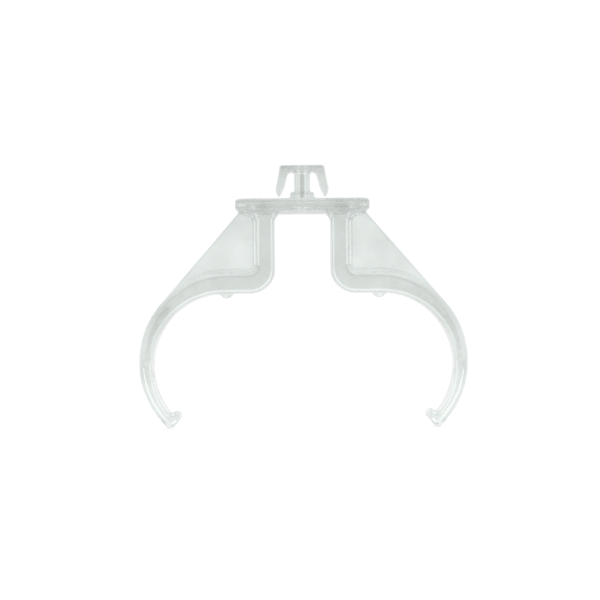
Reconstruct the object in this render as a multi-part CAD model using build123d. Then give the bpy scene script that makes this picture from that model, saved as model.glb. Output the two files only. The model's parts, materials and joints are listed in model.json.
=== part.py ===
from build123d import *
from math import cos, hypot, radians, sin
import os

# Snap-in lamp clip: one clear moulding that hangs under a sheet-metal panel and holds a twin-tube lamp.
# Millimetres. Origin: middle of the flange's top face, which lies against the panel.
# +X: across the two tubes, +Y: along the tubes, +Z: up, out of the panel on the anchor's side.

# ---- driving dimensions ----
ARM_DEPTH = 7.0            # width of the legs, shelves and arms along the tubes
EDGE_ROUND = 0.4           # rounding of the strip's long edges

FLANGE_WIDTH = 16.8
FLANGE_DEPTH = 15.0
FLANGE_THICK = 1.5
FLANGE_CORNER = 2.0        # corner radius seen from above
FLANGE_TOP_ROUND = 0.35
FLANGE_LOW_ROUND = 0.5

ANCHOR_DEPTH = 6.6
TIP_ROUND = 0.25           # rounding of a wing's tip
CROWN_TOP = 4.33
CROWN_THICK = 0.64
CROWN_HALF = 2.76          # half the crown's width at its top
CROWN_CORNER = 0.3
POST_WIDTH = 2.03
POST_BLADE_DEPTH = 4.2
RIB_WIDTH = 1.2            # the thicker middle of the post, as deep as the crown
FOOT_WIDTH = 7.0           # the anchor's foot, let into the flange and flush with it
FOOT_DEPTH = 7.2
FOOT_SINK = 0.3
COLLAR_WIDTH = 3.2
COLLAR_HEIGHT = 0.95
COLLAR_TOP_WIDTH = 2.8
ARCH_RADIUS = 0.42         # round top of the gap between the post and a wing
WING_KINK = (3.38, 1.08)   # widest point of a wing
WING_TIP = (2.94, 0.5)
WING_HEEL = (2.38, 1.29)   # inner corner where the tip starts to taper
WING_HINGE = (2.42, 3.22)  # middle of the flexure

LEG_INNER = 3.48           # half the slot between the legs
LEG_OUTER = 5.95
LEG_FOOT = 8.6             # depth under the flange's top where the leg turns into the shelf
FLANGE_FILLET = 1.3        # flange to leg, on both sides
POCKET_FILLET = 0.9        # leg to shelf, on the web's side
SHELF_END = 11.2           # distance from the middle where the shelf becomes the arm

SEAT_RADIUS = 9.2          # inner arc of an arm, a loose fit on a 17.5 mm tube
SEAT_CENTRE = (9.8, -21.0)
BACK_RADIUS = 11.35        # outer arc of an arm
BACK_CENTRE = (9.45, -20.4)

ROOT_ANGLE = 37.5          # flexure between the stiffened root and the upper arm, above horizontal
ELBOW_ANGLE = 0.0          # flexure between the upper and the lower arm
LIP_ANGLE = -40.3          # where the lip starts
END_ANGLE = -48.6          # end face of the arm
LIP_RADIUS = 8.3           # how near the lip comes to the seat's centre
LIP_ROUND = 0.38
LIP_HEEL = 0.45

NUB_X = 9.7
NUB_RADIUS = 0.78
NUB_DROP = 0.57            # how far it stands out of the shelf
NUB_LENGTH = 3.4

WEB_THICK = 1.1
WEB_TOP = 8.1              # half width of the web at the flange

HINGE_LAP = 0.02           # a moving end's radius over half the strip's thickness
HINGE_GAP = 0.05           # clearance all round a moving end
BIG = 60.0                 # larger than the whole clip, for cutting tools

# ---- worked out ----
FLANGE_BOTTOM = -FLANGE_THICK
CROWN_BOTTOM = CROWN_TOP - CROWN_THICK
SHELF_BOTTOM = SEAT_CENTRE[1] + SEAT_RADIUS
SHELF_TOP = BACK_CENTRE[1] + BACK_RADIUS
HEEL_RADIUS = -LEG_FOOT - SHELF_BOTTOM


def front(x, z):
    """A point of the front view, on the middle plane."""
    return Vector(x, 0, z)


def seat_point(angle, radius):
    """A point at an angle and distance from the right tube seat's centre."""
    turn = radians(angle)
    return front(SEAT_CENTRE[0] + radius * cos(turn), SEAT_CENTRE[1] + radius * sin(turn))


def back_radius(angle):
    """Distance from the seat's centre to the arm's outer arc, in a direction."""
    turn = radians(angle)
    off_x = BACK_CENTRE[0] - SEAT_CENTRE[0]
    off_z = BACK_CENTRE[1] - SEAT_CENTRE[1]
    along = off_x * cos(turn) + off_z * sin(turn)
    return along + (along ** 2 - off_x ** 2 - off_z ** 2 + BACK_RADIUS ** 2) ** 0.5


def slab(face, depth):
    """A front-view face thickened evenly to both sides of the middle plane."""
    return extrude(face, amount=depth / 2, dir=(0, 1, 0), both=True)


def cylinder_y(centre, radius):
    """A cutting cylinder along Y through a point of the front view."""
    return Pos(centre.X, 0, centre.Z) * Rot(90, 0, 0) * Cylinder(radius, BIG)


def cut_box(x_low, x_high, z_low, z_high):
    """A cutting box given by its limits in the front view."""
    middle = Pos((x_low + x_high) / 2, 0, (z_low + z_high) / 2)
    return middle * Box(x_high - x_low, BIG, z_high - z_low)


def wedge(low_angle, high_angle):
    """A cutting wedge between two directions from the right tube seat's centre."""
    corners = [seat_point(0, 0), seat_point(low_angle, BIG), seat_point(high_angle, BIG)]
    return slab(make_face(Polyline(*corners, close=True)), BIG)


def mirrored(solid):
    """The left-hand twin of a right-hand solid."""
    return mirror(solid, about=Plane.YZ)


# ---- flange and anchor ----
def anchor_foot():
    """Middle of the flange's top, under the anchor, so that the flange keeps the ring that meets the panel."""
    return extrude(Rectangle(FOOT_WIDTH, FOOT_DEPTH), amount=-FOOT_SINK)


def flange_plate():
    plan = RectangleRounded(FLANGE_WIDTH, FLANGE_DEPTH, FLANGE_CORNER)
    plate = extrude(plan, amount=-FLANGE_THICK)
    plate = fillet(plate.faces().sort_by(Axis.Z)[-1].edges(), FLANGE_TOP_ROUND)
    plate = fillet(plate.faces().sort_by(Axis.Z)[0].edges(), FLANGE_LOW_ROUND)
    return plate - anchor_foot()


def anchor_collar():
    """Stepped foot of the post."""
    low = COLLAR_WIDTH / 2
    high = COLLAR_TOP_WIDTH / 2
    outline = Polyline(
        front(-low, 0), front(low, 0), front(high, COLLAR_HEIGHT), front(-high, COLLAR_HEIGHT), close=True
    )
    return slab(make_face(outline), ANCHOR_DEPTH)


def anchor_post():
    section = Rectangle(POST_WIDTH, POST_BLADE_DEPTH) + Rectangle(RIB_WIDTH, ANCHOR_DEPTH)
    return extrude(Pos(0, 0, COLLAR_HEIGHT) * section, amount=CROWN_BOTTOM - COLLAR_HEIGHT)


def wing_half_thickness():
    """Half the wing's thickness at its flexure, measured across the wing."""
    run = hypot(WING_KINK[0] - CROWN_HALF, CROWN_TOP - WING_KINK[1])
    across_x = (CROWN_TOP - WING_KINK[1]) / run
    across_z = (WING_KINK[0] - CROWN_HALF) / run
    return (WING_KINK[0] - WING_HINGE[0]) * across_x + (WING_KINK[1] - WING_HINGE[1]) * across_z


def anchor_half():
    """Right half of the crown with its wing, in one piece."""
    arch_inner = POST_WIDTH / 2
    arch_top = CROWN_BOTTOM
    arch_centre = front(arch_inner + ARCH_RADIUS, arch_top - ARCH_RADIUS)
    outline = [
        Line(front(0, arch_top), front(0, CROWN_TOP)),
        Line(front(0, CROWN_TOP), front(CROWN_HALF, CROWN_TOP)),
        Line(front(CROWN_HALF, CROWN_TOP), front(*WING_KINK)),
        Line(front(*WING_KINK), front(*WING_TIP)),
        Line(front(*WING_TIP), front(*WING_HEEL)),
        Line(front(*WING_HEEL), arch_centre + front(ARCH_RADIUS, 0)),
        ThreePointArc(
            arch_centre + front(ARCH_RADIUS, 0),
            arch_centre + front(ARCH_RADIUS * cos(radians(45)), ARCH_RADIUS * sin(radians(45))),
            arch_centre + front(0, ARCH_RADIUS),
        ),
        Line(arch_centre + front(0, ARCH_RADIUS), front(0, arch_top)),
    ]
    solid = slab(make_face(outline), ANCHOR_DEPTH)

    def upright(x, z):
        return solid.edges().filter_by(Axis.Y).sort_by_distance(front(x, z))[0]

    solid = fillet(upright(CROWN_HALF, CROWN_TOP), CROWN_CORNER)
    solid = fillet(upright(*WING_KINK), TIP_ROUND)
    solid = fillet(upright(*WING_TIP), TIP_ROUND)
    return fillet(upright(*WING_HEEL), TIP_ROUND)


def anchor_wing(half):
    hinge = front(*WING_HINGE)
    moving = wing_half_thickness() + HINGE_LAP
    below = cut_box(ARCH_RADIUS + POST_WIDTH / 2, BIG, -BIG, WING_HINGE[1])
    return (half & below) + (half & cylinder_y(hinge, moving))


def crown_half(half):
    hinge = front(*WING_HINGE)
    clear = wing_half_thickness() + HINGE_LAP + HINGE_GAP
    above = cut_box(-BIG, BIG, WING_HINGE[1], BIG)
    return (half & above) - cylinder_y(hinge, clear)


# ---- legs, shelves and arms: one bent strip on each side, cut at its flexures ----
def strip_outline():
    """Front view of the right-hand strip, from the flange down to the end of the lip."""
    heel_centre = front(LEG_INNER + HEEL_RADIUS, -LEG_FOOT)
    heel_mid = heel_centre + front(-HEEL_RADIUS * cos(radians(45)), -HEEL_RADIUS * sin(radians(45)))
    seat_top = front(SEAT_CENTRE[0], SHELF_BOTTOM)
    back_top = front(BACK_CENTRE[0], SHELF_TOP)
    end_out = seat_point(END_ANGLE, back_radius(END_ANGLE))
    end_in = seat_point(END_ANGLE, LIP_RADIUS)
    lip_in = seat_point(LIP_ANGLE, LIP_RADIUS)
    lip_root = seat_point(LIP_ANGLE, SEAT_RADIUS)
    return [
        Line(front(LEG_OUTER, FLANGE_BOTTOM), front(LEG_INNER, FLANGE_BOTTOM)),
        Line(front(LEG_INNER, FLANGE_BOTTOM), front(LEG_INNER, -LEG_FOOT)),
        ThreePointArc(front(LEG_INNER, -LEG_FOOT), heel_mid, heel_centre + front(0, -HEEL_RADIUS)),
        Line(heel_centre + front(0, -HEEL_RADIUS), seat_top),
        ThreePointArc(seat_top, seat_point(25, SEAT_RADIUS), lip_root),
        Line(lip_root, lip_in),
        ThreePointArc(lip_in, seat_point((LIP_ANGLE + END_ANGLE) / 2, LIP_RADIUS), end_in),
        Line(end_in, end_out),
        ThreePointArc(end_out, seat_point(20, back_radius(20)), back_top),
        Line(back_top, front(LEG_OUTER, SHELF_TOP)),
        Line(front(LEG_OUTER, SHELF_TOP), front(LEG_OUTER, FLANGE_BOTTOM)),
    ]


def flare(x_face, side, radius):
    """Concave fillet between the flange and a leg's face; side is +1 on the face's outward +X side."""
    block = Pos(x_face + side * radius / 2, 0, FLANGE_BOTTOM - radius / 2) * Box(
        radius, ARM_DEPTH - 2 * EDGE_ROUND, radius
    )
    return block - cylinder_y(front(x_face + side * radius, FLANGE_BOTTOM - radius), radius)


def strip():
    """The whole right-hand strip with its corner radii and rounded long edges."""
    solid = slab(make_face(strip_outline()), ARM_DEPTH)

    def corner(point):
        return solid.edges().filter_by(Axis.Y).sort_by_distance(point)[0]

    solid = fillet(corner(front(LEG_OUTER, SHELF_TOP)), POCKET_FILLET)
    solid = fillet(corner(seat_point(END_ANGLE, back_radius(END_ANGLE))), LIP_HEEL)
    solid = fillet(corner(seat_point(END_ANGLE, LIP_RADIUS)), LIP_ROUND)
    solid = fillet(corner(seat_point(LIP_ANGLE, LIP_RADIUS)), LIP_ROUND)
    long_edges = [
        edge
        for edge in solid.edges()
        if abs(abs(edge.center().Y) - ARM_DEPTH / 2) < 1e-4 and edge.center().Z < FLANGE_BOTTOM - 1e-4
    ]
    solid = fillet(long_edges, EDGE_ROUND)
    return solid + flare(LEG_INNER, -1, FLANGE_FILLET) + flare(LEG_OUTER, 1, FLANGE_FILLET)


def flexure(angle):
    """Middle of the strip's thickness at an angle, and half the thickness there."""
    inner = SEAT_RADIUS
    outer = back_radius(angle)
    return seat_point(angle, (inner + outer) / 2), (outer - inner) / 2


def moving_end(whole, angle):
    """Round end of the piece that turns on a flexure."""
    hinge, half = flexure(angle)
    return whole & cylinder_y(hinge, half + HINGE_LAP)


def hinge_recess(angle):
    """Cutter for the hollow that a moving end turns in."""
    hinge, half = flexure(angle)
    return cylinder_y(hinge, half + HINGE_LAP + HINGE_GAP)


def leg(whole):
    return whole & cut_box(0, SHELF_END, -LEG_FOOT, BIG)


def shelf(whole):
    return whole & cut_box(0, SHELF_END, -BIG, -LEG_FOOT) & wedge(60, 180)


def arm_root(whole):
    beyond = cut_box(SHELF_END, BIG, -BIG, BIG)
    return (whole & beyond & wedge(ROOT_ANGLE, 90)) - hinge_recess(ROOT_ANGLE)


def upper_arm(whole):
    between = whole & wedge(ELBOW_ANGLE, ROOT_ANGLE)
    return between + moving_end(whole, ROOT_ANGLE) - hinge_recess(ELBOW_ANGLE)


def lower_arm(whole):
    return (whole & wedge(LIP_ANGLE, ELBOW_ANGLE)) + moving_end(whole, ELBOW_ANGLE)


def end_lip(whole):
    return whole & wedge(LIP_ANGLE - 30, LIP_ANGLE)


def tube_nub(whole):
    """Small ridge under the shelf that keeps the glass off the plastic."""
    centre = front(NUB_X, SHELF_BOTTOM - NUB_DROP + NUB_RADIUS)
    bar = Pos(centre.X, 0, centre.Z) * Rot(90, 0, 0) * Cylinder(NUB_RADIUS, NUB_LENGTH)
    ends = [Pos(centre.X, side * NUB_LENGTH / 2, centre.Z) * Sphere(NUB_RADIUS) for side in (-1, 1)]
    ridge = bar + ends
    return ridge & cut_box(0, SHELF_END, -BIG, SHELF_BOTTOM + NUB_RADIUS) - whole


def web(whole, plate):
    """Thin gusset that fills the corner between the flange, the leg, the shelf and the arm."""
    top = front(WEB_TOP, FLANGE_BOTTOM)
    centre = front(*BACK_CENTRE)
    reach = centre - top
    span = hypot(reach.X, reach.Z)
    tangent = (span ** 2 - BACK_RADIUS ** 2) ** 0.5
    turn_cos = tangent / span
    turn_sin = BACK_RADIUS / span
    run = front(reach.X * turn_cos - reach.Z * turn_sin, reach.X * turn_sin + reach.Z * turn_cos) * (1 / span)
    touch = top + run * tangent
    inside = front(SHELF_END, SHELF_BOTTOM + 1)
    outline = Polyline(
        front(LEG_OUTER - 1, FLANGE_BOTTOM), top, touch, inside, front(LEG_OUTER - 1, SHELF_TOP - 1), close=True
    )
    return slab(make_face(outline), WEB_THICK) - whole - plate


def build():
    """Every piece by name, right-hand pieces mirrored to the left."""
    plate = flange_plate()
    half = anchor_half()
    whole = strip()
    pieces = {
        "flange_plate": plate,
        "anchor_foot": anchor_foot(),
        "anchor_collar": anchor_collar(),
        "anchor_post": anchor_post(),
        "anchor_crown": crown_half(half) + mirrored(crown_half(half)),
    }
    right = {
        "anchor_wing": anchor_wing(half),
        "leg": leg(whole),
        "shelf": shelf(whole),
        "arm_root": arm_root(whole),
        "web": web(whole, plate),
        "tube_nub": tube_nub(whole),
        "upper_arm": upper_arm(whole),
        "lower_arm": lower_arm(whole),
        "end_lip": end_lip(whole),
    }
    for name, solid in right.items():
        pieces["right_" + name] = solid
        pieces["left_" + name] = mirrored(solid)
    return pieces


def main():
    os.makedirs("parts", exist_ok=True)
    for name, solid in build().items():
        export_step(solid, f"parts/{name}.step")
        print(f"{name:18s} {len(solid.solids())} solid {solid.volume:9.3f} mm3 valid {solid.is_valid}")


main()
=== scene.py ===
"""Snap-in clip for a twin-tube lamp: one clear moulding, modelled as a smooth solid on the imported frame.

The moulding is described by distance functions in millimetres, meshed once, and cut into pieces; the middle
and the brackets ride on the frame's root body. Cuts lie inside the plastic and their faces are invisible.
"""
import json
from math import cos, hypot, radians, sin

import bpy
import numpy as np
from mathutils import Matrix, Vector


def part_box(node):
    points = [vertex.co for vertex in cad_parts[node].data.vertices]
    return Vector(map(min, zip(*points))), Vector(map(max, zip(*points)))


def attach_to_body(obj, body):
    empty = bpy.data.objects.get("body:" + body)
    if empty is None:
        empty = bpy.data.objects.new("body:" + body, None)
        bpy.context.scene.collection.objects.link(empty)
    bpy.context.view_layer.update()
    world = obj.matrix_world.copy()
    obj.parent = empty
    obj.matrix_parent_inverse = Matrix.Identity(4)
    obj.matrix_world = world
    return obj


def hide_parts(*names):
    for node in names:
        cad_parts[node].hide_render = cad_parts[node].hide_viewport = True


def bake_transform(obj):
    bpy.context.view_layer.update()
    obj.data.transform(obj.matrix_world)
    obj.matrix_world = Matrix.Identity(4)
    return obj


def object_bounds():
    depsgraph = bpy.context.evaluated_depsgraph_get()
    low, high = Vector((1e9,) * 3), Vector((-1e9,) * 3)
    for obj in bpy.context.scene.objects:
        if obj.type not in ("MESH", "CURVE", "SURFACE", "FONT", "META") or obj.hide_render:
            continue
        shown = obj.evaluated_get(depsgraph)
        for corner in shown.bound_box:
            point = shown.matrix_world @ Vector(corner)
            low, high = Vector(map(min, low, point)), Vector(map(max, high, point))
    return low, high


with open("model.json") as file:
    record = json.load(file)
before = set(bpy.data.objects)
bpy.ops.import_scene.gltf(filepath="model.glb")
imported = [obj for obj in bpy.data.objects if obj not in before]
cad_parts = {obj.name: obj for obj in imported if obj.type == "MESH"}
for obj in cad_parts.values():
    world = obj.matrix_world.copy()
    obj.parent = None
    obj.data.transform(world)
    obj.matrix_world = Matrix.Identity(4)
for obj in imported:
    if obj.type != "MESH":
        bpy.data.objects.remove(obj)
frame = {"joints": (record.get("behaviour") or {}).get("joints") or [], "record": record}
cad_box = [list(corner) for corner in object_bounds()]

MM = 0.001


# ---- sizes read from the frame, in millimetres ----
def node_box(name):
    """Lowest and highest corner of a CAD node."""
    return [np.array(corner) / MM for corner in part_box(name)]


def mount_place(name):
    """Place of a mount of the record."""
    return next(np.array(m["pos_m"]) / MM for m in frame["record"]["mounts"] if m["name"] == name)


def hinge_place(name):
    """A point on a joint's axis."""
    return next(np.array(j["pos_m"]) / MM for j in frame["joints"] if j["name"] == name)


plate_low, plate_high = node_box("flange_plate")
leg_low, leg_high = node_box("right_leg")
shelf_high = node_box("right_shelf")[1]
arm_high = node_box("right_upper_arm")[1]
lip_low = node_box("right_end_lip")[0]
crown_high = node_box("anchor_crown")[1]
post_high = node_box("anchor_post")[1]
collar_high = node_box("anchor_collar")[1]
wing_high = node_box("right_anchor_wing")[1]
nub_low, nub_high = node_box("right_tube_nub")
web_high = node_box("right_web")[1]

# ---- driving dimensions, in millimetres unless a line says otherwise ----
PLATE_CORNER = 2.0         # corner radius of the flange, seen from above
PLATE_TOP_ROUND = 0.35
PLATE_LOW_ROUND = 0.5
PLATE_JOINT = 0.25         # soft corner where the legs' faces meet the flange
POCKET_FILLET = 0.9        # leg to shelf
FLANGE_FILLET = 1.3        # legs to flange
DRAFT = 0.035              # taper of the strip's sides from the middle plane towards its faces
STRIP_ROUND = 0.5          # long edges of the legs, shelves and arms
HEEL_RADIUS = 3.2          # outer corner where a leg turns into its shelf
SHELF_THICK = 2.75
SEAT_RADIUS = 9.2
BACK_RADIUS = 11.35
LIP_ANGLE = -40.3
END_ANGLE = -48.6
LIP_RADIUS = 8.3
LIP_ROUND = (0.6, 0.42)    # corners of the lip: left, right
LIP_FILLET = 0.3
NUB_RADIUS = 0.78
NUB_FILLET = 0.35
WEB_TOP = 8.1              # half width of the web at the flange
WEB_FILLET = 0.45
WEB_ROUND = 0.2
CROWN_THICK = 0.64
CROWN_CORNER = 0.3
CROWN_HALF = 2.76
WING_KINK = (3.38, 1.08)
WING_TIP = (2.94, 0.5)
WING_HEEL = (2.38, 1.29)
TIP_ROUND = 0.25
ARCH_RADIUS = 0.42
RIB_HALF = 0.6
BLADE_DEPTH = 2.1
ANCHOR_ROUND = 0.2         # edges of the anchor
RIB_ROUND = 0.12
ANCHOR_FILLET = 0.16
SINK = 0.012               # slow waviness of the faces
RIPPLE = 0.003             # and the quicker one on top of it

# Look of the plastic, with heights and distances in millimetres; the shares, lines, spot and stripes below
# paint highlights and shade into its colour.
ABSORPTION = 0.035         # per millimetre
CLEAR_TINT = (0.935, 0.99, 0.96)
PLASTIC_IOR = 1.585
# Painted light and shade along the strip, as how much of its depth counts: (height, share).
STRIP_LIGHT_AND_SHADE = ((-20.8, 0.0), (-17.0, 0.4), (-14.5, 0.9), (-11.0, 0.6), (-9.5, 0.8), (-5.0, 0.9))
WEB_SHADE_SHARES = (0.5, 2.2)    # painted shade: share of the depth that counts at the web's foot and at its top
RIM_HIGHLIGHT_INSET = 0.3            # painted highlight line along the strip's edges
RIM_HIGHLIGHT_HALF = 0.2
UPPER_HIGHLIGHT_LINE = -0.6          # painted highlight lines along the flange
LOWER_HIGHLIGHT_LINE = -1.5
HIGHLIGHT_LINE_HALF = 0.2
HIGHLIGHT_SPOT = (6.1, -1.05)        # painted highlight spot at each end of the flange
# Painted dark and bright stripes of the post: (distance from its middle, depth).
POST_STRIPE_SHADES = ((0, 14), (0.2, 12), (0.4, 0), (0.55, 0), (0.8, 5))

# Partings of the mesh: angles of the tube seat, a height above the wing's hinge, a distance from the middle.
BEND_START = 46.5
BEND_PARTING = 12.0
WING_PARTING = 0.3
BRACKET_PARTING = 3.0

# Studio: brightness of the room by how far a direction points along +Y, as (share of the way from -Y, level).
ROOM_LEVELS = (
    (0.0, 0.7), (0.25, 0.7), (0.42, 0.55), (0.58, 0.6), (0.7, 0.8), (0.88, 0.88), (0.95, 1.12), (0.99, 1.12),
)
BACKDROP_LEVEL = 0.87      # straight out along the four horizontal axes
CEILING_LEVEL = 0.45       # added overhead
WHITE = 1.05               # what the camera sees of the room
FLOOR_WHITE = 0.85         # glow of the floor towards the camera
FLOOR_NEAR = (0.1, 0.68)   # metres from the middle, and glow towards the object
FLOOR_FAR = (0.5, 0.52)    # and the same further away
FLOOR_SIZE = 3.0           # half its width, in metres
FLOOR_DROP = 0.05          # clearance under the lips
FLOOR_GREY = 0.25
BACKDROP_EDGE = (0.975, 0.992)   # how straight along an axis the backdrop starts and is full
CEILING_EDGE = (0.7, 0.95)       # the same for the ceiling
LIGHT_BOUNCES = 32         # enough for light that runs along inside the plastic
PIXEL_BLUR = 2.0           # in pixels
CAMERA_PLACE = (-0.386, -285, -12.65)
CAMERA_ROLL = 0.5          # degrees, about the line of sight
CAMERA_LENS = 134.5
CAMERA_SENSOR = 36.0

# ---- worked out ----
plate_half_x = plate_high[0]
plate_half_y = plate_high[1]
plate_bottom = plate_low[2]
leg_inner = leg_low[0] + FLANGE_FILLET
leg_outer = leg_high[0] - FLANGE_FILLET
strip_half = shelf_high[1]
seat_x, _, seat_z = mount_place("right_tube_seat")
shelf_bottom = seat_z + SEAT_RADIUS
shelf_top = shelf_bottom + SHELF_THICK
back_x = arm_high[0] - BACK_RADIUS
back_z = shelf_top - BACK_RADIUS
anchor_half = crown_high[1]
crown_top = crown_high[2]
crown_bottom = crown_top - CROWN_THICK
post_half = post_high[0]
nub_x = (nub_low[0] + nub_high[0]) / 2
nub_z = nub_low[2] + NUB_RADIUS
nub_half = nub_high[1] - NUB_RADIUS
web_half = web_high[1]

GRID = 0.11   # mesh spacing
FINE = 0.65                # the spacing's factor in the anchor


# ---- distance functions: negative inside the plastic ----
def meet(a, b, r):
    """Both a and b, with the edge between them rounded."""
    return np.minimum(np.maximum(a, b), -r) + np.hypot(np.maximum(a + r, 0), np.maximum(b + r, 0))


def join(a, b, r):
    """Either a or b, with a fillet in the corner between them."""
    return np.maximum(np.minimum(a, b), r) - np.hypot(np.maximum(r - a, 0), np.maximum(r - b, 0))


def off_line(x, z, start, end):
    """Distance to the right of a line through two points of the front view."""
    run_x = end[0] - start[0]
    run_z = end[1] - start[1]
    return ((x - start[0]) * run_z - (z - start[1]) * run_x) / hypot(run_x, run_z)


def past_angle(x, z, angle):
    """Distance from the plane through the tube seat's axis at an angle, positive on the higher side."""
    turn = radians(angle)
    return (z - seat_z) * cos(turn) - (x - seat_x) * sin(turn)


def plate(x, y, z):
    """The flange: rounded corners seen from above, rounded edges."""
    across = np.maximum(x - plate_half_x, y - plate_half_y)
    corner = np.hypot(
        np.maximum(x - plate_half_x + PLATE_CORNER, 0), np.maximum(y - plate_half_y + PLATE_CORNER, 0)
    )
    sides = np.minimum(across, -PLATE_CORNER) + corner
    middle = plate_bottom / 2
    faces = np.abs(z - middle) + middle
    return np.where(z > middle, meet(sides, faces, PLATE_TOP_ROUND), meet(sides, faces, PLATE_LOW_ROUND))


def seat_side(x, z, lip_round):
    """The strip's side that faces the slot and the tube, with its lip."""
    around = np.hypot(x - seat_x, z - seat_z)
    seat = np.where(x > seat_x, SEAT_RADIUS - around, shelf_bottom - z)
    lip = meet(LIP_RADIUS - around, past_angle(x, z, LIP_ANGLE), lip_round)
    return join(meet(leg_inner - x, seat, HEEL_RADIUS), lip, LIP_FILLET)


def back_side(x, z):
    """The strip's side that faces the web."""
    back = np.where(x > back_x, np.hypot(x - back_x, z - back_z) - BACK_RADIUS, z - shelf_top)
    return join(x - leg_outer, back, POCKET_FILLET)


def strip(x, y, z, lip_round):
    """Leg, shelf, arm and lip, with the fillets under the flange."""
    front = np.maximum(seat_side(x, z, lip_round), back_side(x, z))
    front = meet(front, -past_angle(x, z, END_ANGLE), lip_round) + DRAFT * y
    under = np.maximum(plate_bottom - z, x - WEB_TOP + PLATE_LOW_ROUND)
    flared = np.maximum(join(front, under, FLANGE_FILLET), z - plate_bottom / 2)
    straight = np.maximum(front, z - plate_bottom / 2)
    return meet(straight, y - strip_half, STRIP_ROUND), meet(flared, y - strip_half, STRIP_ROUND)


def web_edge(x, z):
    """Distance outside the web's sloping edge, and past the point where it touches the arm's back."""
    reach_x = back_x - WEB_TOP
    reach_z = back_z - plate_bottom
    span = hypot(reach_x, reach_z)
    turn_sin = BACK_RADIUS / span
    turn_cos = (1 - turn_sin ** 2) ** 0.5
    run_x = (reach_x * turn_cos - reach_z * turn_sin) / span
    run_z = (reach_x * turn_sin + reach_z * turn_cos) / span
    outside = (z - plate_bottom) * run_x - (x - WEB_TOP) * run_z
    past = (x - WEB_TOP) * run_x + (z - plate_bottom) * run_z - span * turn_cos
    return outside, past


def web(x, y, z):
    """Thin gusset on the middle plane."""
    edge, past = web_edge(x, z)
    inside = np.maximum(np.maximum(-back_side(x, z) - 1, past), z - plate_bottom / 2)
    return meet(np.maximum(edge, inside), y - web_half, WEB_ROUND), edge


def nub(x, y, z):
    """Round-ended ridge under the shelf."""
    along = np.maximum(y - nub_half, 0)
    return np.sqrt((x - nub_x) ** 2 + along ** 2 + (z - nub_z) ** 2) - NUB_RADIUS


def anchor(x, y, z):
    """Crown with its two wings, cruciform post and stepped collar."""
    outer = meet(off_line(x, z, WING_KINK, (CROWN_HALF, crown_top)), z - crown_top, CROWN_CORNER)
    outer = meet(outer, off_line(x, z, WING_TIP, WING_KINK), TIP_ROUND)
    arch_outer = (post_half + 2 * ARCH_RADIUS, crown_bottom - ARCH_RADIUS)
    wing = meet(off_line(x, z, arch_outer, WING_HEEL), off_line(x, z, WING_HEEL, WING_TIP), TIP_ROUND)
    front = meet(outer, join(wing, crown_bottom - z, ARCH_RADIUS), TIP_ROUND)
    crown = meet(front, y - anchor_half, ANCHOR_ROUND)
    blade = meet(x - post_half, y - BLADE_DEPTH, ANCHOR_ROUND)
    rib = meet(x - RIB_HALF, y - anchor_half, RIB_ROUND)
    ends = np.maximum(z - crown_bottom - 0.2, plate_bottom / 2 - z)
    post = np.maximum(join(blade, rib, ANCHOR_FILLET), ends)
    taper = (collar_high[0] - 0.2 - post_half) / collar_high[2]
    foot = meet(x - collar_high[0] + taper * z * 0.4, z - collar_high[2], ANCHOR_ROUND)
    foot = meet(np.maximum(foot, plate_bottom / 2 - z), y - anchor_half, ANCHOR_ROUND)
    return join(join(crown, post, ARCH_RADIUS), foot, ANCHOR_FILLET)


def moulding(x, y, z):
    """Distance to the whole clip; its two sides are alike but for the corners of the lips."""
    lip_round = np.where(x < 0, *LIP_ROUND)
    x = np.abs(x)
    y = np.abs(y)
    straight, flared = strip(x, y, z, lip_round)
    solid = np.minimum(join(plate(x, y, z), straight, PLATE_JOINT), flared)
    gusset, edge = web(x, y, z)
    solid = join(solid, gusset, WEB_FILLET * np.clip(-edge, 0.02, 1))
    solid = join(solid, nub(x, y, z), NUB_FILLET)
    return join(solid, anchor(x, y, z), ANCHOR_FILLET)


def near(value, middle, half_width):
    """1 at the middle, falling to 0 at half_width on either side."""
    return np.clip(1 - np.abs(value - middle) / half_width, 0, 1)


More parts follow.
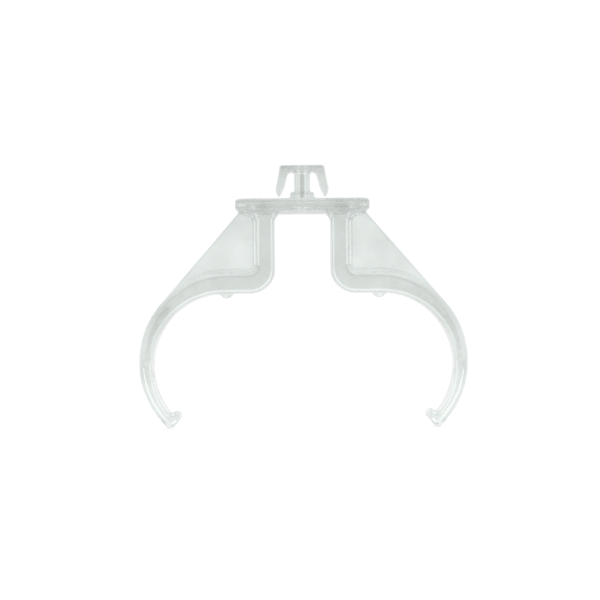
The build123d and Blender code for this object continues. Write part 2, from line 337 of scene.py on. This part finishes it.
def plastic_depth_and_painted_light(places):
    """Plastic along Y behind each point of the front view, in millimetres, reshaped into painted light and
    shade.

    It counts as less where a rounded edge or a fillet gathers light, a painted highlight, and as more where
    it spreads it, painted shade.
    """
    x = np.abs(places[:, 0])
    z = places[:, 2]
    front = np.maximum(seat_side(x, z, LIP_ROUND[1]), back_side(x, z))
    in_strip = np.clip(0.5 - front / 0.3, 0, 1)
    # Painted light and shade along the strip: its depth counts for more or less by height, and a painted
    # highlight line runs just inside its edges.
    heights, shares = zip(*STRIP_LIGHT_AND_SHADE)
    in_leg = 2 * strip_half * np.interp(z, heights, shares) * (1 - 0.95 * near(front, -RIM_HIGHLIGHT_INSET, RIM_HIGHLIGHT_HALF))
    # Painted shade on the web, darker towards its top.
    in_web = 2 * web_half * np.interp(z, (shelf_bottom, plate_bottom), WEB_SHADE_SHARES)
    depth_and_painted_light = in_web + (in_leg - in_web) * in_strip

    in_nub = near(x, nub_x, 1.6) * np.clip((shelf_bottom + 0.1 - z) / 0.1, 0, 1) * (z > nub_low[2] - 0.1)
    depth_and_painted_light = depth_and_painted_light + (2 * nub_half - depth_and_painted_light) * in_nub

    # Painted shade darkens the flange over the legs; it has two painted highlight lines, a painted highlight
    # spot at each end and a top made paler by painted light.
    in_flange = 2 * plate_half_y * (0.7 + 0.5 * near(x, (leg_inner + leg_outer) / 2 + 0.3, 1.6))
    upper_highlight = 0.9 * near(z, UPPER_HIGHLIGHT_LINE, HIGHLIGHT_LINE_HALF)
    lower_highlight = 0.8 * near(z, LOWER_HIGHLIGHT_LINE, HIGHLIGHT_LINE_HALF) * near(x, 0, 2.5)
    end_highlight = near(x, HIGHLIGHT_SPOT[0], 0.4) * near(z, HIGHLIGHT_SPOT[1], 0.5)
    in_flange = in_flange * (1 - upper_highlight) * (1 - lower_highlight) * (1 - end_highlight)
    in_flange = in_flange * np.interp(z, (-0.5, -0.3), (1, 0.5))
    depth_and_painted_light = depth_and_painted_light + (in_flange - depth_and_painted_light) * np.clip(1 + (z - plate_bottom) / 0.3, 0, 1)

    # Painted dark and bright stripes down the post; the wings count as deeper towards the crown's underside.
    in_post = np.interp(x, *zip(*POST_STRIPE_SHADES))
    in_wing = 2 * anchor_half * np.interp(z, (crown_bottom - 1, crown_bottom), (0.8, 1.2))
    in_anchor = in_wing + (in_post - in_wing) * np.clip((post_half - x) / 0.1, 0, 1) * (z < crown_bottom)
    return depth_and_painted_light + (in_anchor - depth_and_painted_light) * np.clip(z / 0.2, 0, 1)


def waviness(x, y, z):
    """Slight sink and ripple of a moulded face, in millimetres."""
    slow = np.sin(1.3 * x + 0.7 * z + 0.4) * np.sin(0.9 * z - 0.5 * y + 1.1) * np.sin(0.8 * y + 0.6 * x)
    quick = np.sin(4.1 * x - 2.3 * z + 0.7) * np.sin(3.7 * z + 1.9 * y) * np.sin(3.3 * y - 1.7 * x + 2.0)
    return SINK * slow + RIPPLE * quick


def surface(points):
    """Distance to the finished surface and its gradient."""
    def value(p):
        x, y, z = p.T
        return moulding(x, y, z) + waviness(x, y, z)

    step = 0.004
    slope = np.empty_like(points)
    for axis in range(3):
        shift = np.zeros(3)
        shift[axis] = step
        slope[:, axis] = (value(points + shift) - value(points - shift)) / (2 * step)
    return value(points), slope


# ---- meshing ----
def grid_line(low, high, fine_low, fine_high):
    """Samples from low to high, closer together inside the fine stretch."""
    line = [low]
    while line[-1] < high:
        fine = fine_low < line[-1] < fine_high
        line.append(line[-1] + GRID * (FINE if fine else 1))
    return np.array(line)


def quarter_mesh():
    """Surface nets on the quarter with x and y above zero: a vertex in each cell that the surface crosses."""
    half_cell = GRID * FINE / 2
    xs = np.concatenate([[-half_cell], grid_line(half_cell, arm_high[0] + 0.6, 0, wing_high[0] + 0.2)])
    ys = np.concatenate([[-half_cell], grid_line(half_cell, plate_half_y + 0.6, 0, web_half + 0.3)])
    zs = grid_line(lip_low[2] - 0.6, crown_top + 0.6, 0, crown_top + 1)
    field = moulding(xs[:, None, None], ys[None, :, None], zs[None, None, :])
    inside = field < 0
    shape = [n - 1 for n in inside.shape]
    corners = sum(
        inside[i:i + shape[0], j:j + shape[1], k:k + shape[2]].astype(np.int8)
        for i in (0, 1) for j in (0, 1) for k in (0, 1)
    )
    cells = np.argwhere((corners > 0) & (corners < 8))
    number = np.full(shape, -1, np.int64)
    number[tuple(cells.T)] = np.arange(len(cells))
    middles = [(line[1:] + line[:-1]) / 2 for line in (xs, ys, zs)]
    places = np.column_stack([middles[axis][cells[:, axis]] for axis in range(3)])
    quads = []
    for axis in range(3):
        first = [slice(None)] * 3
        second = [slice(None)] * 3
        first[axis] = slice(None, -1)
        second[axis] = slice(1, None)
        a = inside[tuple(first)]
        b = inside[tuple(second)]
        edges = np.argwhere(a != b)
        edges = edges[(edges[:, (axis + 1) % 3] > 0) & (edges[:, (axis + 2) % 3] > 0)]
        edges = edges[np.all([edges[:, n] < shape[n] for n in range(3)], axis=0)]
        ring = []
        for back_u, back_v in ((0, 0), (1, 0), (1, 1), (0, 1)):
            cell = edges.copy()
            cell[:, (axis + 1) % 3] -= back_u
            cell[:, (axis + 2) % 3] -= back_v
            ring.append(number[tuple(cell.T)])
        ring = np.column_stack(ring)
        outward = a[tuple(edges.T)]
        ring[~outward] = ring[~outward][:, ::-1]
        quads.append(ring)
    return places, np.vstack(quads)


def mirrored_mesh(places, quads, axis):
    """Adds the mirror image across a middle plane, sharing the vertices on it."""
    on_plane = np.abs(places[:, axis]) < 1e-6
    twin = np.arange(len(places))
    twin[~on_plane] = len(places) + np.arange(np.count_nonzero(~on_plane))
    image = places[~on_plane].copy()
    image[:, axis] *= -1
    return np.vstack([places, image]), np.vstack([quads, twin[quads][:, ::-1]])


def settled(places, normal=None):
    """Vertices moved onto the surface, within a plane if its normal is given."""
    for _ in range(5):
        distance, slope = surface(places)
        if normal is not None:
            slope = slope - (slope @ normal)[:, None] * normal
        size = np.maximum((slope ** 2).sum(axis=1), 0.05)
        move = np.clip(-distance / size, -GRID, GRID)
        places = places + slope * move[:, None]
    return places


# ---- cutting the one mesh into pieces ----
class Skin:
    """Vertices in millimetres, and the faces of each piece; a cap closes each cut."""

    def __init__(self, places, quads):
        self.places = places
        self.faces = {"clip_body": [quads]}
        self.odd = {"clip_body": []}
        self.caps = {"clip_body": []}

    def split(self, source, target, normal, through, local):
        """Moves the faces of source on the plane's positive side, where local holds, to target."""
        height = (self.places - through) @ normal
        quads = np.vstack(self.faces[source])
        middle = self.places[quads].mean(axis=1)
        allowed = local(middle)
        sides = height[quads] > 0
        whole = allowed & sides.all(axis=1)
        crossed = allowed & sides.any(axis=1) & ~whole
        self.faces[target] = [quads[whole]]
        self.faces[source] = [quads[~whole & ~crossed]]
        self.odd[target] = []
        self.caps[target] = []
        fresh = {}
        added = []

        def crossing(a, b):
            key = (min(a, b), max(a, b))
            if key not in fresh:
                share = height[key[0]] / (height[key[0]] - height[key[1]])
                added.append(self.places[key[0]] + share * (self.places[key[1]] - self.places[key[0]]))
                fresh[key] = len(self.places) + len(added) - 1
            return fresh[key]

        follow = {}
        for quad in quads[crossed]:
            loops = {True: [], False: []}
            marks = []
            for a, b in zip(quad, np.roll(quad, -1)):
                up = bool(height[a] > 0)
                loops[up].append(int(a))
                if up != bool(height[b] > 0):
                    point = crossing(int(a), int(b))
                    loops[True].append(point)
                    loops[False].append(point)
                    marks.append((point, up))
            for up, owner in ((True, target), (False, source)):
                if len(loops[up]) > 2:
                    self.odd[owner].append(loops[up])
            leave = next(point for point, up in marks if up)
            enter = next(point for point, up in marks if not up)
            follow[leave] = enter
        fitted = settled(np.array(added), normal)
        self.places = np.vstack([self.places, fitted])
        start = next(iter(follow))
        ring = [start]
        while follow[ring[-1]] != start:
            ring.append(follow[ring[-1]])
        self.caps[target].append(ring[::-1])
        self.caps[source].append(ring)

    def mesh(self, name):
        """Blender mesh of one piece, in metres, with exact normals."""
        quads = np.vstack(self.faces[name])
        loops = [quads.ravel()] + [np.array(face) for face in self.odd[name] + self.caps[name]]
        sizes = [4] * len(quads) + [len(face) for face in self.odd[name] + self.caps[name]]
        flat = np.concatenate(loops)
        used, compact = np.unique(flat, return_inverse=True)
        places = self.places[used]
        mesh = bpy.data.meshes.new(name)
        mesh.vertices.add(len(used))
        mesh.vertices.foreach_set("co", (places * MM).ravel())
        mesh.loops.add(len(flat))
        mesh.loops.foreach_set("vertex_index", compact.ravel())
        mesh.polygons.add(len(sizes))
        mesh.polygons.foreach_set("loop_start", np.concatenate([[0], np.cumsum(sizes)[:-1]]))
        mesh.polygons.foreach_set("loop_total", sizes)
        material = np.zeros(len(sizes), np.int32)
        if self.caps[name]:
            material[-len(self.caps[name]):] = 1
        mesh.polygons.foreach_set("material_index", material)
        mesh.polygons.foreach_set("use_smooth", np.ones(len(sizes), bool))
        mesh.update(calc_edges=True)
        mesh.validate()
        slope = surface(places)[1]
        slope /= np.linalg.norm(slope, axis=1)[:, None]
        mesh.normals_split_custom_set_from_vertices(slope.tolist())
        # Per-vertex depth of plastic with painted highlights and painted shade worked in, for the base
        # colour.
        depth_and_painted_light = mesh.attributes.new("depth_and_painted_light", "FLOAT", "POINT")
        depth_and_painted_light.data.foreach_set("value", plastic_depth_and_painted_light(places))
        return mesh


def split_bracket(skin, side, target):
    """Cuts the flange between the anchor and a leg."""
    skin.split(
        "clip_body", target, np.array([float(side), 0, 0]), np.array([side * BRACKET_PARTING, 0, 0]),
        lambda p: p[:, 2] < plate_high[2] + 0.2,
    )


def split_arm(skin, side, source, target, angle):
    """Cuts an arm across at an angle of its tube seat."""
    centre = np.array([side * seat_x, 0, seat_z])
    turn = radians(angle)
    normal = np.array([side * sin(turn), 0, -cos(turn)])
    skin.split(source, target, normal, centre, lambda p: side * p[:, 0] > seat_x + 1)


def split_wing(skin, side, target):
    """Cuts a wing off under the crown."""
    hinge = hinge_place("right_wing_flex")
    inner = post_half + ARCH_RADIUS
    through = np.array([0, 0, hinge[2] + WING_PARTING])
    skin.split(
        "clip_body", target, np.array([0, 0, -1.0]), through,
        lambda p: (side * p[:, 0] > inner + 0.3 * (through[2] - p[:, 2])) & (p[:, 2] > plate_high[2] + 0.3),
    )


def moulded_skin():
    """The whole clip, meshed and parted."""
    places, quads = quarter_mesh()
    places, quads = mirrored_mesh(places, quads, 0)
    places, quads = mirrored_mesh(places, quads, 1)
    skin = Skin(settled(places), quads)
    for side, name in ((1, "right"), (-1, "left")):
        split_wing(skin, side, f"{name}_snap_wing")
        split_bracket(skin, side, f"{name}_bracket")
        split_arm(skin, side, f"{name}_bracket", f"{name}_arm_bend", BEND_START)
        split_arm(skin, side, f"{name}_arm_bend", f"{name}_arm_end", BEND_PARTING)
    return skin


# ---- materials ----
def add_node(tree, kind, **values):
    """A shader node with its sockets and settings filled in."""
    node = tree.nodes.new(kind)
    for name, value in values.items():
        if hasattr(node, name):
            setattr(node, name, value)
        else:
            node.inputs[name.replace("_", " ")].default_value = value
    return node


def clear_plastic():
    """Clear polycarbonate: darker where there is more of it and where shade is painted, lighter where
    highlights are painted, with cloudy flow marks and an uneven polish.
    """
    material = bpy.data.materials.new("clear_polycarbonate")
    material.use_nodes = True
    tree = material.node_tree
    shader = tree.nodes["Principled BSDF"]
    shader.inputs["Transmission Weight"].default_value = 1.0
    shader.inputs["IOR"].default_value = PLASTIC_IOR
    place = add_node(tree, "ShaderNodeTexCoord")
    cloud = add_node(tree, "ShaderNodeTexNoise", Scale=230.0, Detail=5.0, Roughness=0.62)
    flow = add_node(tree, "ShaderNodeTexNoise", Scale=500.0, Detail=0.5, Distortion=0.6)
    # The attribute holds the plastic's depth with painted highlights and painted shade worked in; it fades
    # the base colour.
    depth_and_painted_light = add_node(tree, "ShaderNodeAttribute", attribute_name="depth_and_painted_light")
    fade = add_node(tree, "ShaderNodeMath", operation="MULTIPLY")
    fade.inputs[1].default_value = -ABSORPTION
    clear = add_node(tree, "ShaderNodeMath", operation="EXPONENT")
    tint = add_node(tree, "ShaderNodeVectorMath", operation="SCALE")
    tint.inputs[0].default_value = CLEAR_TINT
    mottle = add_node(tree, "ShaderNodeMapRange", From_Min=0.3, From_Max=0.7, To_Min=0.88, To_Max=1.06)
    colour = add_node(tree, "ShaderNodeVectorMath", operation="SCALE")
    polish = add_node(tree, "ShaderNodeMapRange", To_Min=0.02, To_Max=0.1)
    bump = add_node(tree, "ShaderNodeBump", Strength=0.05, Distance=0.00006)
    tree.links.new(place.outputs["Object"], cloud.inputs["Vector"])
    tree.links.new(place.outputs["Object"], flow.inputs["Vector"])
    tree.links.new(depth_and_painted_light.outputs["Fac"], fade.inputs[0])
    tree.links.new(fade.outputs[0], clear.inputs[0])
    tree.links.new(clear.outputs[0], tint.inputs["Scale"])
    tree.links.new(cloud.outputs["Fac"], mottle.inputs["Value"])
    tree.links.new(tint.outputs["Vector"], colour.inputs[0])
    tree.links.new(mottle.outputs["Result"], colour.inputs["Scale"])
    tree.links.new(colour.outputs["Vector"], shader.inputs["Base Color"])
    tree.links.new(flow.outputs["Fac"], polish.inputs["Value"])
    tree.links.new(polish.outputs["Result"], shader.inputs["Roughness"])
    tree.links.new(flow.outputs["Fac"], bump.inputs["Height"])
    tree.links.new(bump.outputs["Normal"], shader.inputs["Normal"])
    return material


def cut_face():
    """Invisible face that closes a piece where it goes on into the next one."""
    material = bpy.data.materials.new("cut_face")
    material.use_nodes = True
    material.node_tree.nodes["Principled BSDF"].inputs["Alpha"].default_value = 0.0
    return material


# ---- pieces ----
def make_pieces(skin, plastic, cut):
    """One object per piece, in metres."""
    pieces = {}
    for name in skin.faces:
        mesh = skin.mesh(name)
        mesh.materials.append(plastic)
        mesh.materials.append(cut)
        piece = bpy.data.objects.new(name, mesh)
        bpy.context.scene.collection.objects.link(piece)
        pieces[name] = piece
    return pieces


def attach(pieces):
    """The middle and the brackets ride on the root body; the arm and wing pieces stay where they are. The CAD
    parts they stand for are hidden.
    """
    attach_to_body(pieces["clip_body"], "root")
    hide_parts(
        "flange_plate", "anchor_foot", "anchor_collar", "anchor_post", "anchor_crown",
    )
    for side, name in ((1, "right"), (-1, "left")):
        bracket = pieces[f"{name}_bracket"]
        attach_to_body(bracket, "root")
        for part in ("leg", "shelf", "arm_root", "web", "tube_nub"):
            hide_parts(f"{name}_{part}")
        bend = pieces[f"{name}_arm_bend"]
        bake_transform(bend)
        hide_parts(f"{name}_upper_arm")
        end = pieces[f"{name}_arm_end"]
        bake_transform(end)
        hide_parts(f"{name}_lower_arm", f"{name}_end_lip")
        wing = pieces[f"{name}_snap_wing"]
        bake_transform(wing)
        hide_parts(f"{name}_anchor_wing")


# ---- studio ----
def grey_ramp(tree, levels):
    """A colour ramp of plain greys, as (position, level) pairs."""
    node = add_node(tree, "ShaderNodeValToRGB")
    steps = node.color_ramp.elements
    for number, (position, level) in enumerate(levels):
        step = steps[number] if number < 2 else steps.new(position)
        step.position = position
        step.color = (level, level, level, 1)
    return node


def studio_world():
    """White room: brightest in a ring beyond the object, dimmest at the sides, with soft light overhead."""
    world = bpy.data.worlds.new("studio")
    bpy.context.scene.world = world
    world.use_nodes = True
    tree = world.node_tree
    back = tree.nodes["Background"]
    direction = add_node(tree, "ShaderNodeTexCoord")
    split = add_node(tree, "ShaderNodeSeparateXYZ")
    along = add_node(tree, "ShaderNodeMapRange", From_Min=-1.0, From_Max=1.0)
    room = grey_ramp(tree, ROOM_LEVELS)
    side_x = add_node(tree, "ShaderNodeMath", operation="ABSOLUTE")
    side_y = add_node(tree, "ShaderNodeMath", operation="ABSOLUTE")
    straight = add_node(tree, "ShaderNodeMath", operation="MAXIMUM")
    backdrop = add_node(tree, "ShaderNodeMapRange", From_Min=BACKDROP_EDGE[0], From_Max=BACKDROP_EDGE[1])
    walls = add_node(tree, "ShaderNodeMix", data_type="FLOAT")
    walls.inputs["B"].default_value = BACKDROP_LEVEL
    ceiling = add_node(
        tree, "ShaderNodeMapRange", From_Min=CEILING_EDGE[0], From_Max=CEILING_EDGE[1], To_Max=CEILING_LEVEL,
    )
    total = add_node(tree, "ShaderNodeMath", operation="ADD")
    seen = add_node(tree, "ShaderNodeLightPath")
    pick = add_node(tree, "ShaderNodeMix", data_type="FLOAT")
    pick.inputs["B"].default_value = WHITE
    tree.links.new(direction.outputs["Generated"], split.inputs["Vector"])
    tree.links.new(split.outputs["Y"], along.inputs["Value"])
    tree.links.new(along.outputs["Result"], room.inputs["Fac"])
    tree.links.new(split.outputs["X"], side_x.inputs[0])
    tree.links.new(split.outputs["Y"], side_y.inputs[0])
    tree.links.new(side_x.outputs[0], straight.inputs[0])
    tree.links.new(side_y.outputs[0], straight.inputs[1])
    tree.links.new(straight.outputs[0], backdrop.inputs["Value"])
    tree.links.new(backdrop.outputs["Result"], walls.inputs["Factor"])
    tree.links.new(room.outputs["Color"], walls.inputs["A"])
    tree.links.new(split.outputs["Z"], ceiling.inputs["Value"])
    tree.links.new(walls.outputs["Result"], total.inputs[0])
    tree.links.new(ceiling.outputs["Result"], total.inputs[1])
    tree.links.new(seen.outputs["Is Camera Ray"], pick.inputs["Factor"])
    tree.links.new(total.outputs[0], pick.inputs["A"])
    tree.links.new(pick.outputs["Result"], back.inputs["Color"])


def studio_floor():
    """Plain floor that glows, a little less further away, and is white to the camera."""
    size = FLOOR_SIZE
    mesh = bpy.data.meshes.new("floor")
    height = cad_box[0][2] - FLOOR_DROP * MM
    mesh.from_pydata(
        [(-size, -size, height), (size, -size, height), (size, size, height), (-size, size, height)],
        [], [(0, 1, 2, 3)],
    )
    floor = bpy.data.objects.new("floor", mesh)
    bpy.context.scene.collection.objects.link(floor)
    paper = bpy.data.materials.new("floor_paper")
    paper.use_nodes = True
    tree = paper.node_tree
    shader = tree.nodes["Principled BSDF"]
    shader.inputs["Base Color"].default_value = (FLOOR_GREY, FLOOR_GREY, FLOOR_GREY, 1)
    shader.inputs["Roughness"].default_value = 0.9
    shader.inputs["Specular IOR Level"].default_value = 0.0
    shader.inputs["Emission Color"].default_value = (1, 1, 1, 1)
    place = add_node(tree, "ShaderNodeTexCoord")
    reach = add_node(tree, "ShaderNodeVectorMath", operation="LENGTH")
    glow = add_node(
        tree, "ShaderNodeMapRange",
        From_Min=FLOOR_NEAR[0], To_Min=FLOOR_NEAR[1], From_Max=FLOOR_FAR[0], To_Max=FLOOR_FAR[1],
    )
    seen = add_node(tree, "ShaderNodeLightPath")
    pick = add_node(tree, "ShaderNodeMix", data_type="FLOAT")
    pick.inputs["B"].default_value = FLOOR_WHITE
    tree.links.new(place.outputs["Object"], reach.inputs[0])
    tree.links.new(reach.outputs["Value"], glow.inputs["Value"])
    tree.links.new(seen.outputs["Is Camera Ray"], pick.inputs["Factor"])
    tree.links.new(glow.outputs["Result"], pick.inputs["A"])
    tree.links.new(pick.outputs["Result"], shader.inputs["Emission Strength"])
    mesh.materials.append(paper)


def studio_camera():
    """Level view along the tubes."""
    data = bpy.data.cameras.new("camera")
    data.sensor_width = CAMERA_SENSOR
    data.lens = CAMERA_LENS
    data.clip_start = 0.01
    camera = bpy.data.objects.new("camera", data)
    camera.location = [place * MM for place in CAMERA_PLACE]
    camera.rotation_euler = (radians(90), radians(CAMERA_ROLL), 0)
    bpy.context.scene.collection.objects.link(camera)
    bpy.context.scene.camera = camera


def main():
    skin = moulded_skin()
    pieces = make_pieces(skin, clear_plastic(), cut_face())
    attach(pieces)
    studio_world()
    studio_floor()
    studio_camera()
    bpy.context.scene.view_settings.view_transform = "Standard"
    for kind in ("max_bounces", "glossy_bounces", "transmission_bounces"):
        setattr(bpy.context.scene.cycles, kind, LIGHT_BOUNCES)
    bpy.context.scene.cycles.filter_width = PIXEL_BLUR


main()
